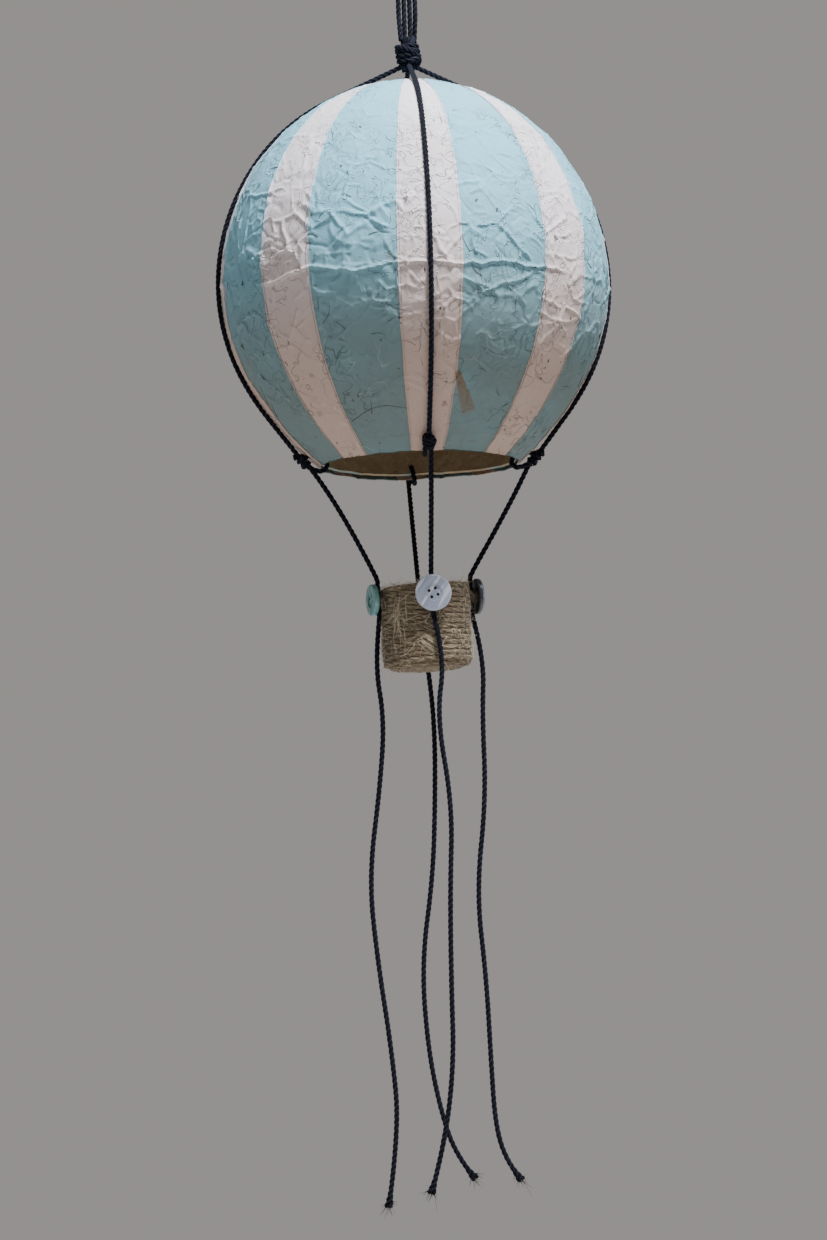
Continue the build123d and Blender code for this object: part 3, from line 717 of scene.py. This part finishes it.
def tie_rim_knot(side):
    """A small overhand knot on the cord, with its loop through the hole and round the mouth's edge."""
    slope = MOUTH_HEADING - HOLE_UP / SKIRT_R
    middle = around(SIDES[side], *up_from_mouth(HOLE_UP, RIM_KNOT_OUT))
    a = radians(SIDES[side])
    down = Vector((cos(slope) * sin(a), -cos(slope) * cos(a), -sin(slope)))
    across = Vector((cos(a), sin(a), 0))
    out = across.cross(down) * -1
    place = Matrix((across, out, down)).transposed().to_4x4()
    place.translation = middle

    def lead(stops, step=KNOT_STEP):
        return evenly([place @ Vector(stop) for stop in stops], step)

    fat = 1.35 if side == "front" else 1.0
    length = RIM_KNOT_L / 2 / fat**0.5
    wraps = wound(3.1, 40, 0.0016 * fat, -length + 0.0012, length - 0.0014, 0.4, 0.0004, 0.0004)
    over = wound(0.7, 40, 0.0024 * fat, -length + 0.0025, length - 0.0025, 3.6, -0.0008)
    core = lead([(0.0001, 0, -length), (0, 0.0003, 0), (0.0001, 0, length)], 0.0008)
    parts = [
        laid(lead(wraps), 0.00132, sides=7, rough=0.02, seed=1),
        laid(lead(over), 0.00125, sides=7, rough=0.02, seed=2),
        laid(core, 0.0018, sides=7, seed=3),
    ]
    inside = -SKIN - 0.0017 - CORD_R
    low = HOLE_UP - RIM_KNOT_L / 2
    # each stop's distance up from the edge, distance out from the paper, and share of the way aside
    stops = [
        (low + 0.002, RIM_KNOT_OUT, 1.0), (low, RIM_KNOT_OUT, 1.0), (0.0002, RIM_KNOT_OUT - 0.0010, 1.0),
        (-0.0034, 0.0012, 0.8), (-0.0032, inside - 0.0004, 0.5), (HOLE_UP, inside - 0.0006, 0.0),
        (HOLE_UP, 0.002, 0.0),
    ]
    loop = [around(SIDES[side], *up_from_mouth(up, away), -share * 0.0018) for up, away, share in stops]
    parts.append(laid(evenly(spline_points(loop), KNOT_STEP), CORD_R, seed=4))
    tied(f"rim_knot_cord_{side}", parts, f"rim_knot_{side}")


def tie_crown_knot():
    """The big knot: the strap's four cords drawn through slanting wraps."""
    # each wrap's turns, radius, ends above and below the knot's middle, start, slant, swell and thickness
    wraps = [
        (4.6, 0.0041, 0.0066, -0.0062, 0.5, 0.0010, 0.0017, 0.0016),
        (0.9, 0.0062, 0.0052, -0.0052, 2.2, -0.0014, 0.0003, 0.0015),
        (0.9, 0.0062, -0.0046, 0.0050, 4.6, 0.0014, 0.0003, 0.0015),
    ]
    parts = []
    for seed, (turns, reach, first, last, start, slant, swell, thick) in enumerate(wraps, 5):
        stops = wound(turns, 48, reach, first, last, start, slant, swell, 0.6)
        line = evenly([(x, y, KNOT_MIDDLE_Z + z) for x, y, z in stops], KNOT_STEP)
        parts.append(laid(line, thick, seed=seed))
    core = [(0, 0, KNOT_TOP_Z + 0.0012), (0, 0.0002, KNOT_MIDDLE_Z), (0, 0, KNOT_TOP_Z - KNOT_H - 0.0006)]
    parts.append(laid(evenly(core, 0.001), 0.0043, plies=4, lay=0.03, sides=10, seed=8))
    tied("crown_knot_cords", parts, "crown_knot")


def hang_eye(name, pitch, nodes):
    """One cord of the hanging loop: up from the crown knot, over the hook, and down again."""
    r = EYE_R + CORD_R + pitch * STRAND_STEP
    half = STRAND_STEP * (pitch + 0.5)
    corner = r * tan(pi / 8)
    low = KNOT_TOP_Z - 0.001
    end_x, end_y = (STRAP_BUNCH if pitch else (half, 0.0))
    drop = 0.0008 * pitch
    side = [(end_x, end_y, low)]
    if pitch:
        side += [(half, 0, -0.0375), (half, 0, -0.034)]
    side += [(half, 0, -0.0285), (half, 0, -0.0255 - drop), (r, 0, -0.0135 - drop), (r, 0, -0.0095)]
    side += [(r, 0, EYE_CENTRE_Z), (r, 0, EYE_CENTRE_Z + corner), (corner, 0, EYE_CENTRE_Z + r)]
    route = side + [(-x, -y, z) for x, y, z in reversed(side)]
    line = evenly(spline_points(route), CORD_STEP)
    cord = rope(name, line, seed=30 + pitch)
    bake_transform(cord)
    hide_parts(*nodes)


for side in SIDES:
    hang_tail(side)
    hang_stay(side)
    lay_leg(side)
    tie_rim_knot(side)
tie_crown_knot()
hang_eye("hanging_cord_inner", 0, ["eye_inner_bight", "strap_strand_2", "strap_strand_3"])
hang_eye("hanging_cord_outer", 1, ["eye_outer_bight", "strap_strand_1", "strap_strand_4"])


# ---- the balloon's paper ----
def smooth(low, high, value):
    t = min(max((value - low) / (high - low), 0.0), 1.0)
    return t * t * (3 - 2 * t)


def vein(at, size, width):
    """A thin raised line that wanders where noise of this size changes sign."""
    away = abs(noise.noise(at / size)) * size / 1.3
    return exp(-((away / width) ** 2)) if away < 3 * width else 0.0


def crease(at, size, width):
    """A thin raised fold along the borders of cells of this size."""
    near = noise.voronoi(at / size)[0]
    away = (near[1] - near[0]) * size / 2
    return exp(-((away / width) ** 2)) if away < 3 * width else 0.0


# Folds: height, shift, cell size and width in mm, then where they show: low, high, size and shift
FOLDS = [
    (1.0, (310, 0, 40), 27, 0.66, -0.12, 0.1, 21, (1, 9, 4)),
    (0.7, (0, 90, 500), 15, 0.58, -0.05, 0.15, 16, (7, 3, 8)),
    (0.4, (20, 90, 50), 8.5, 0.55, 0.0, 0.2, 14, (3, 5, 8)),
    (-0.5, (60, 210, 0), 21, 0.65, 0.0, 0.2, 18, (2, 6, 1)),
]
BELT_Z = -204  # the long crease round the front, in mm
STAR = around(-6.2, *on_paper(heading_at(-0.168))) * 1000
STAR_RAYS = [(0.2, 13), (0.9, 9), (1.6, 12), (2.3, 8), (3.0, 14), (3.9, 10), (4.6, 13), (5.4, 9)]


def star(at, angle):
    """Creases that run out from one pinched point of the front white strip."""
    if (at - STAR).length > 15:
        return 0.0
    a = radians(angle)
    u, v = (at - STAR).x * cos(a) + (at - STAR).y * sin(a), (at - STAR).z
    r = hypot(u, v)
    total = 0.0
    for way, reach in STAR_RAYS:
        if u * cos(way) + v * sin(way) > 0 and r < reach:
            total += exp(-(((u * sin(way) - v * cos(way)) / 0.45) ** 2)) * (1 - r / reach)
    return total


def crumple(angle, r, z):
    """How far the paper stands out of the smooth balloon, in metres."""
    at = around(angle, r * 1000, z * 1000)
    zone = 0.4 + 0.6 * exp(-(((at.z + 192) / 50) ** 2))
    bent = at + noise.noise_vector(at / 24) * 4 + noise.noise_vector(at / 7) * 1.3
    shown = smooth(-0.05, 0.25, noise.noise(at / 40 + Vector((5, 1, 2))))
    rise = 0.6 * vein(bent + Vector((0, 0, 700)), 36, 0.8) * shown
    for height, shift, size, width, low, high, spread, aside in FOLDS:
        shown = smooth(low, high, noise.noise(at / spread + Vector(aside)))
        rise += height * crease(bent + Vector(shift), size, width) * shown
    turn = (angle + 180) % 360 - 180
    belt = at.z - BELT_Z + 4.5 * noise.noise(Vector((turn * 0.07, 3.1, 0)))
    belt += 1.2 * noise.noise(Vector((turn * 0.3, 8.1, 0)))
    rise += 1.25 * exp(-((belt / 0.95) ** 2)) * smooth(-62, -50, turn) * smooth(48, 38, turn)
    rise = rise * zone + 0.75 * star(at, angle)
    rise += 0.6 * noise.noise(at / 42) + 0.4 * noise.noise(at / 15 + Vector((4, 4, 4)))
    under_cord = min(abs((angle - side + 180) % 360 - 180) for side in SIDES.values())
    press = exp(-((radians(under_cord) * r * 1000 / 2.6) ** 2))
    rise = rise * (1 - press) - 0.25 * press
    return rise * 0.001


def sheet_of(name, angles, headings, out, deep, material, holes=(), edge=None, lower=None):
    """A strip of crumpled paper between angles and headings, with its cut edges turned in by deep."""
    rows, cols = len(headings), len(angles)
    points = np.empty((rows, cols, 3))
    for i, heading in enumerate(headings):
        for j, angle in enumerate(angles):
            if edge and j in (0, cols - 1):
                angle += edge(heading, j == 0)
            turn = heading + (lower(angle) * (i / (rows - 1)) ** 40 if lower else 0.0)
            r, z = on_paper(turn)
            a = radians(angle)
            rise = crumple(angle, r, z) + out
            far = r + rise * sin(turn)
            points[i, j] = (far * sin(a), -far * cos(a), z + rise * cos(turn))
    points = points.reshape(-1, 3)
    faces = quads(rows, cols)
    for side in holes:
        centre = np.array(around(SIDES[side], *up_from_mouth(HOLE_UP, out)))
        middles = points[faces].mean(1)
        open_faces = np.linalg.norm(middles - centre, axis=1) < HOLE_R
        rim = np.intersect1d(faces[open_faces], faces[~open_faces])
        away = points[rim] - centre
        points[rim] = centre + away / np.linalg.norm(away, axis=1)[:, None] * HOLE_R
        faces = faces[~open_faces]
    bm = bmesh.new()
    corners = [bm.verts.new(p) for p in points]
    for face in faces:
        bm.faces.new([corners[i] for i in face])
    bmesh.ops.delete(bm, geom=[v for v in bm.verts if not v.link_faces], context="VERTS")
    bm.normal_update()
    border = [e for e in bm.edges if len(e.link_faces) == 1]
    normals = {v.co.copy().freeze(): v.normal.copy() for e in border for v in e.verts}
    turned = bmesh.ops.extrude_edge_only(bm, edges=border)["geom"]
    for v in turned:
        if isinstance(v, bmesh.types.BMVert):
            v.co -= normals[v.co.copy().freeze()] * deep
    mesh = bpy.data.meshes.new(name)
    bm.to_mesh(mesh)
    bm.free()
    made = finished(name, mesh, material)
    mesh.set_sharp_from_angle(angle=radians(50))
    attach(made, "balloon")
    return made


def hand_cut(heading, left):
    """How far a strip's edge strays from straight, in degrees."""
    r = max(on_paper(heading)[0], 0.01)
    stray = 0.0005 * noise.noise(Vector((heading * 9, 4.0 if left else 9.0, 0)))
    stray += 0.0002 * noise.noise(Vector((heading * 34, 2, 1)))
    return stray / r * DEGREES


def ragged_mouth(angle):
    """How far the outer paper hangs past the lining, as a heading."""
    past = 0.0006 + 0.0009 * noise.noise(Vector((angle * 0.09, 1.5, 0)))
    past += 0.0003 * noise.noise(Vector((angle * 0.5, 7.5, 0)))
    return past / SKIRT_R


STEP = 0.0007
gore_turn = 360 / GORE_PAIRS
rows = int(sum(radius * radians(turn) for radius, turn in OUTLINE) / STEP)
headings = np.linspace(0.002 / OUTLINE[0][0], MOUTH_HEADING, rows)
for i in range(GORE_PAIRS):
    start = i * gore_turn - WHITE_WIDTH / 2
    wide = int(radians(WHITE_WIDTH) * WIDEST_R / STEP)
    angles = np.linspace(start, start + WHITE_WIDTH, wide)
    holes = [side for side, angle in SIDES.items() if abs(angle - i * gore_turn) < 1]
    strip = sheet_of(f"white_strip_{i + 1}", angles, headings, 0.00008, SKIN / 2, white_paper,
                     holes, hand_cut, ragged_mouth)
    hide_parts(f"white_gore_{i + 1}")
    wide = int(radians(gore_turn - WHITE_WIDTH + 2 * GORE_LAP) * WIDEST_R / STEP)
    angles = np.linspace(start + WHITE_WIDTH - GORE_LAP, start + gore_turn + GORE_LAP, wide)
    strip = sheet_of(f"turquoise_strip_{i + 1}", angles, headings, -0.00006, SKIN,
                     turquoise_paper, lower=ragged_mouth)
    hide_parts(f"turquoise_gore_{i + 1}")

headings = np.linspace(0.01, MOUTH_HEADING - 0.0004 / SKIRT_R, 110)
lining = sheet_of("kraft_lining", np.linspace(0, 360, 241), headings,
                  -SKIN - LINING_DEEP, -LINING_DEEP, kraft_inside, list(SIDES))
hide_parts(*[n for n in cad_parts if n.startswith("envelope_")])


def lie_on_paper(stops, lift):
    """A fine line over the crumpled paper through (angle, height) stops."""
    stops = np.array(stops, float)
    share = np.linspace(0, len(stops) - 1, 8 * (len(stops) - 1) + 1)
    line = []
    for s in share:
        angle, z = (np.interp(s, range(len(stops)), stops[:, k]) for k in (0, 1))
        heading = heading_at(z)
        line.append(around(angle, *on_paper(heading, crumple(angle, *on_paper(heading)) + lift)))
    return line


fibre_rng = np.random.default_rng(12)
long_hair = [(-34.9, -0.2825), (-30, -0.28), (-24, -0.277), (-18, -0.276), (-13, -0.277), (-8.5, -0.278)]
strands = [lie_on_paper(long_hair, 0.0001)]
for _ in range(140):
    angle, z = fibre_rng.uniform(0, 360), fibre_rng.uniform(-0.285, -0.1)
    way, bend, reach = fibre_rng.uniform(0, pi), fibre_rng.uniform(-0.9, 0.9), fibre_rng.uniform(0.004, 0.012)
    r = on_paper(heading_at(z))[0]
    stops = []
    for t in (0, 1, 2, 3):
        turn = way + bend * t / 3
        stops.append((angle, z))
        angle += reach / 3 * cos(turn) / r * DEGREES
        z += reach / 3 * sin(turn)
    strands.append(lie_on_paper(stops, 0.00008))
loose = hairs("paper_hairs", strands, 0.00018, hair_fibre)
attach(loose, "balloon")


# ---- the basket ----
def wind_jute():
    """One length of twine: down the side in close rows, round the corner, and coiled under the floor."""
    centre_r = BASKET_R - TWINE_R
    stops = []
    for t in np.arange(0, ROWS - 0.5, 0.01):
        slack = 0.00018 * noise.noise(Vector((t * 3.1, 2, 5)))
        z = BASKET_H / 2 - TWINE_R - 2 * TWINE_R * t * ROW_CLOSE + 0.5 * slack
        stops.append(BASKET @ around(-360 * t + WIND_FROM, centre_r + slack, z))
    low = BASKET_H / 2 - TWINE_R - 2 * TWINE_R * (ROWS - 0.5) * ROW_CLOSE
    floor_z = -BASKET_H / 2 + TWINE_R
    turn = ROWS - 0.5
    for t in np.arange(0, CORNER_TURNS, 0.01):
        share = t / CORNER_TURNS
        r = centre_r - CORNER_IN * share**1.4
        stops.append(BASKET @ around(-360 * (turn + t) + WIND_FROM, r, low + (floor_z - low) * share))
    turn += CORNER_TURNS
    inner = centre_r - CORNER_IN
    for t in np.arange(0, inner / (2 * TWINE_R) - 0.35, 0.01):
        z = floor_z + 0.0001 * noise.noise(Vector((t * 4, 1, 1)))
        stops.append(BASKET @ around(-360 * (turn + t) + WIND_FROM, inner - 2 * TWINE_R * t, z))
    line = evenly([tuple(p) for p in stops], 0.0009)
    points, faces, grain = laid(line, TWINE_R * 1.04, lay=0.021, rough=0.22, seed=3, ply_share=0.66)
    shift = np.array([0.00013 * noise.noise(Vector(p) * 900) for p in points])
    points = points + shift[:, None]
    twine = piece("jute_twine", points, faces, jute_fibre, grain)
    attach(twine, "basket")
    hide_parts("jute_side_winding", "jute_base_winding")


def stray_jute():
    """Loose fibres over the winding: frizz all round, and longer pale ones caught across the rows."""
    rng = np.random.default_rng(5)
    frizz, caught = [], []
    for i in range(1500):
        angle, down = rng.uniform(0, 360), rng.uniform(0.0002, 0.0012 if i % 5 == 0 else BASKET_H - 0.001)
        reach, lift = rng.uniform(0.002, 0.006), rng.uniform(0.05, 0.6)
        sideways, climb, curl = rng.choice((-1, 1)), rng.normal(0, 0.4), rng.normal(0, 0.5)
        low = max(down - (BASKET_H - 0.004), 0)
        line = []
        for t in (0, 0.25, 0.5, 0.75, 1.0):
            r = BASKET_R - 0.0004 - low + reach * lift * t**1.4
            depth = down - reach * climb * t - curl * reach * t * t
            line.append(basket_point(angle, r, depth, sideways * reach * t))
        frizz.append(line)
    for i in range(190):
        angle, down = rng.uniform(0, 360), rng.uniform(0.003, BASKET_H - 0.009)
        reach, way, bend = rng.uniform(0.004, 0.013), rng.uniform(0, pi), rng.normal(0, 0.8)
        if i < 22:
            angle, way, bend = rng.normal(-38, 6), rng.normal(pi / 2, 0.25), rng.normal(0, 0.5)
            reach, down = rng.uniform(0.009, 0.02), rng.uniform(0.005, 0.025)
        elif i < 36:
            angle, way, bend = rng.normal(-7, 6), rng.normal(0.72, 0.12), 0.0
            reach, down = rng.uniform(0.005, 0.011), rng.uniform(0.03, 0.036)
        line = []
        aside, fall = 0.0, down
        for t in range(7):
            heading = way + bend * t / 6
            r = BASKET_R + 0.00012 + 0.0003 * sin(pi * t / 6)
            down = min(max(fall, 0.0005), BASKET_H - 0.005)
            line.append(basket_point(angle + aside / BASKET_R * DEGREES, r, down))
            aside += reach / 6 * cos(heading)
            fall += reach / 6 * sin(heading)
        caught.append(line)
    for name, lines, radius in (("jute_frizz", frizz, 0.00011), ("jute_strays", caught, 0.0002)):
        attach(hairs(name, lines, radius, pale_fibre), "basket")


wind_jute()
stray_jute()


def set_dab(side, material):
    """The lump of glue between a button and the jute, narrower in the middle and uneven."""
    middle, across, up, out = button_axes(side)
    depth = BUTTON_BACK_R - BASKET_R + DAB_SINK
    rings, turns, points = 12, 28, []
    for share in np.linspace(0, 1, rings):
        for turn in np.linspace(0, 2 * pi, turns, endpoint=False):
            lump = noise.noise(Vector((2 * cos(turn), 2 * sin(turn), 3 * share + len(side))))
            r = DAB_R + 0.0012 * (2 * share - 1) ** 2 + 0.0007 * lump
            points.append(middle - out * (depth * share) + across * (r * cos(turn)) + up * (r * sin(turn)))
    faces = quads(rings, turns, True).tolist()
    faces += [list(range(turns))[::-1], list(range((rings - 1) * turns, rings * turns))]
    dab = piece(f"glue_lump_{side}", points, faces, material)
    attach(dab, "basket")
    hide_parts(f"glue_dab_{side}")


def refinish(name, material):
    """A CAD node keeps its shape and gets this finish."""
    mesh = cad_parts[name].data
    mesh.materials.clear()
    mesh.materials.append(material)


refinish("basket_cup", board())
glue = shade_toned_glue()
PEARL = (tint(138, 146, 166), tint(164, 171, 190), tint(206, 211, 222))
# Each button's dark, light, streak and back shades, then how its streaks lean, how fine they are, and swirl
BUTTONS = {
    "front": (*PEARL, None, radians(55), 250, 0.25),
    "back": (*PEARL, None, radians(40), 250, 0.25),
    "right": (tint(84, 90, 108), tint(112, 120, 142), tint(150, 160, 190), tint(40, 40, 43),
              radians(75), 300, 0.6),
    "left": (tint(44, 108, 112), tint(88, 148, 150), tint(132, 184, 182), None, radians(84), 380, 1.4),
}
for side, look in BUTTONS.items():
    refinish(f"button_{side}", button_finish(f"{side}_button_stock", side, *look))
    set_dab(side, glue)


# ---- studio ----
FLOOR_Z = -1.0


def studio_floor():
    """A pale round floor under the object, turned up softly at its edge."""
    turns, rings = 96, []
    for r, z in [(0.0001, 0), (0.4, 0), (0.8, 0), (1.15, 0), (1.3, 0.006), (1.38, 0.03), (1.4, 0.06)]:
        ring = [(r * cos(2 * pi * t / turns), r * sin(2 * pi * t / turns), z + FLOOR_Z) for t in range(turns)]
        rings.append(ring)
    p = Paint("floor_card", Specular_IOR_Level=0.2)
    tone = p.noise(6, 3)
    colour = p.mix(tone.over(0.3, 0.7), tint(214, 211, 205), tint(220, 217, 212))
    material = p.feed(Base_Color=colour, Roughness=0.8 + 0.1 * tone)
    mesh = bpy.data.meshes.new("floor_card")
    mesh.from_pydata(np.array(rings).reshape(-1, 3).tolist(), [], quads(len(rings), turns, True).tolist())
    finished("floor_card", mesh, material)


def light_room():
    """A pale band of wall all round at eye height, dimmer above and darker below."""
    world = bpy.data.worlds.new("studio")
    bpy.context.scene.world = world
    world.use_nodes = True
    nodes, links = world.node_tree.nodes, world.node_tree.links
    way = nodes.new("ShaderNodeSeparateXYZ")
    links.new(nodes.new("ShaderNodeTexCoord").outputs["Generated"], way.inputs[0])
    ramp = nodes.new("ShaderNodeMapRange")
    ramp.inputs["From Min"].default_value, ramp.inputs["From Max"].default_value = -1, 1
    links.new(way.outputs["Z"], ramp.inputs["Value"])
    shades = nodes.new("ShaderNodeValToRGB")
    stops = shades.color_ramp.elements
    stops[0].position, stops[0].color = 0.25, (0.10, 0.095, 0.09, 1)
    stops[1].position, stops[1].color = 0.85, (0.14, 0.145, 0.15, 1)
    for place in (0.44, 0.68):
        stops.new(place).color = (0.318, 0.302, 0.291, 1)
    links.new(ramp.outputs[0], shades.inputs[0])
    links.new(shades.outputs[0], nodes["Background"].inputs["Color"])


def lamp(name, place, target, size, power, colour):
    """A round soft lamp that looks at its target."""
    data = bpy.data.lights.new(name, "AREA")
    data.shape, data.size, data.energy, data.color = "DISK", size, power, colour
    made = placed(name, data)
    made.location = place
    made.rotation_euler = (Vector(target) - Vector(place)).to_track_quat("-Z", "Y").to_euler()


studio_floor()
lamp("key", (0.47, -0.78, 1.4), (0, 0, -0.2), 0.45, 98, (0.94, 0.97, 1.0))
lamp("fill", (-1.7, -1.2, -0.1), (0, 0, -0.35), 1.6, 2, (0.95, 0.97, 1.0))
light_room()
